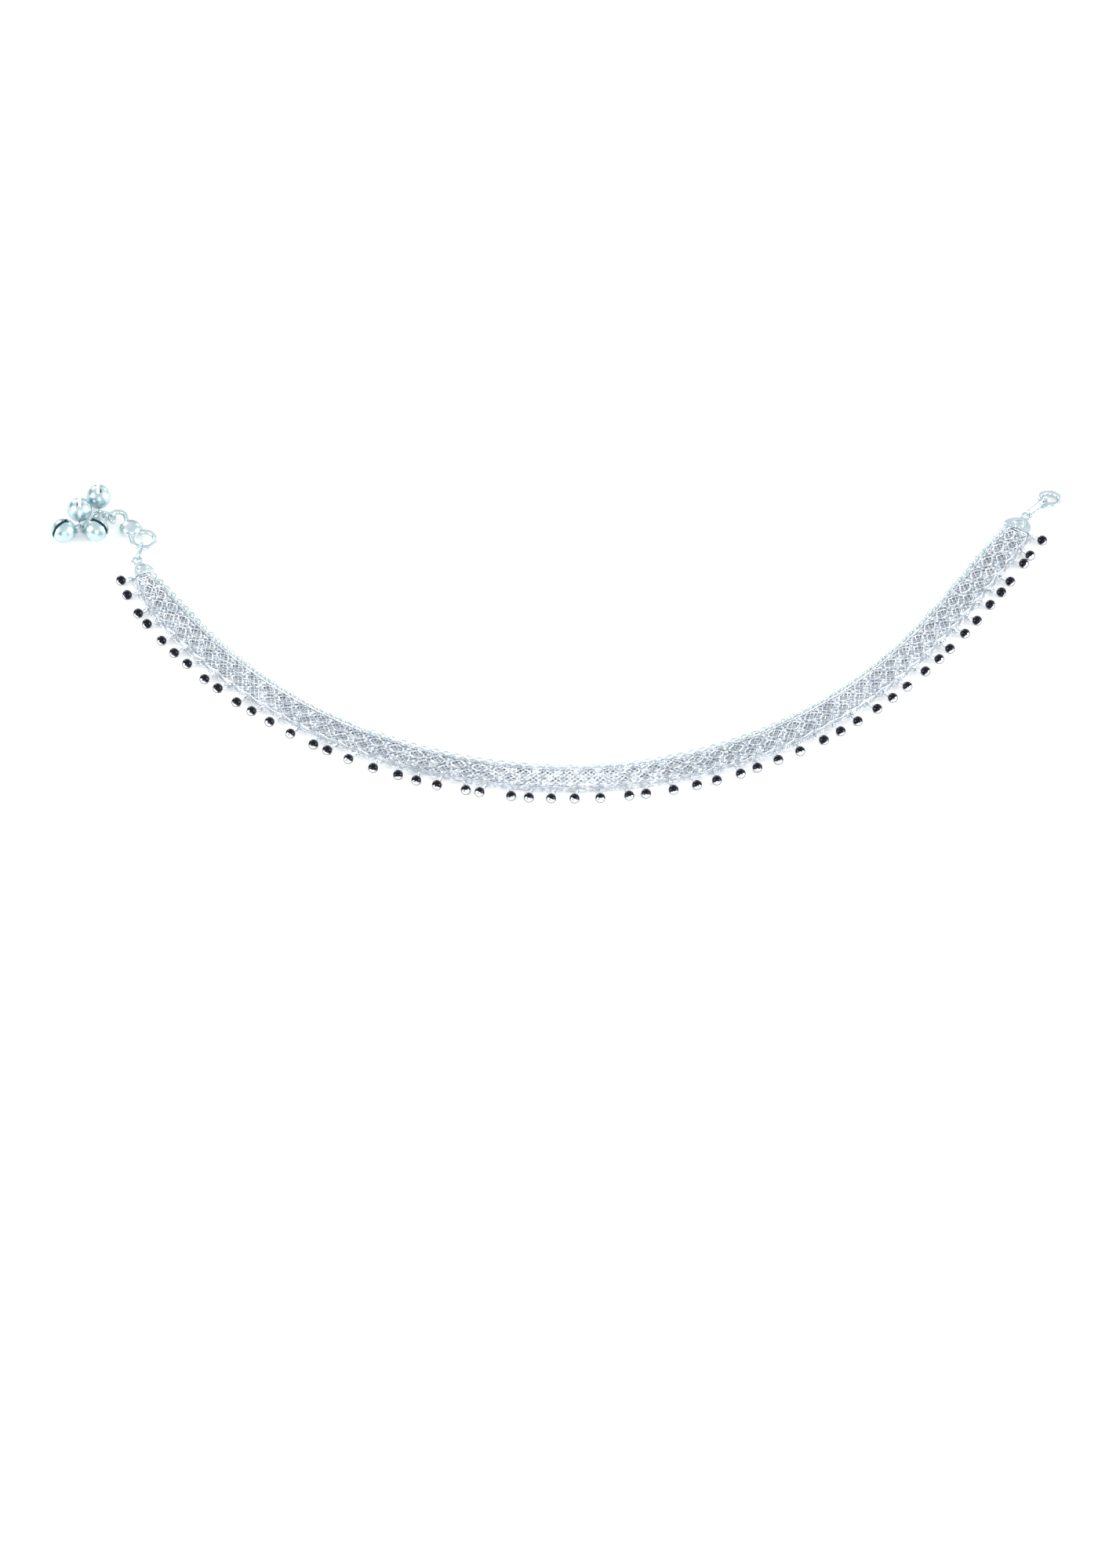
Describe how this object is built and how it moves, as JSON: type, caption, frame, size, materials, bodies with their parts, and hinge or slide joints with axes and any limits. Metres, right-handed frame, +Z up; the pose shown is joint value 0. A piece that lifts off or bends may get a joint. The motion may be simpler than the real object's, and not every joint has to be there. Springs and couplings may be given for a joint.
{
  "type": "payal anklet",
  "caption": "Open silver payal anklet with a pierced woven band, a fringe of small blackened beads, a hook with jingle bells and a closing ring.",
  "frame": {"origin": "centre of the whole anklet's outline, on the surface that it lies on", "axes": "+Z up from that surface, +X from the hook end to the ring end, -Y towards the bottom of the curve"},
  "size_m": [0.211, 0.0922, 0.0053],
  "materials": {
    "lattice_silver": "satin",
    "bright_silver": "polished",
    "blackened_silver": "polished, blackened"
  },
  "bodies": {
    "root": {"woven_band": "lattice_silver", "inner_edge_chain": "bright_silver", "bead_fringe": "blackened_silver", "end_cap_left": "bright_silver", "end_cap_right": "bright_silver", "hook_link": "bright_silver", "clasp_hook": "bright_silver", "bell_link_near": "bright_silver", "bell_ring_near": "bright_silver", "bell_link_far": "bright_silver", "bell_ring_far": "bright_silver", "bell_1": "bright_silver", "bell_2": "bright_silver", "bell_3": "bright_silver", "bell_4": "bright_silver", "ring_link": "bright_silver", "closing_ring": "bright_silver"}
  },
  "joints": []
}
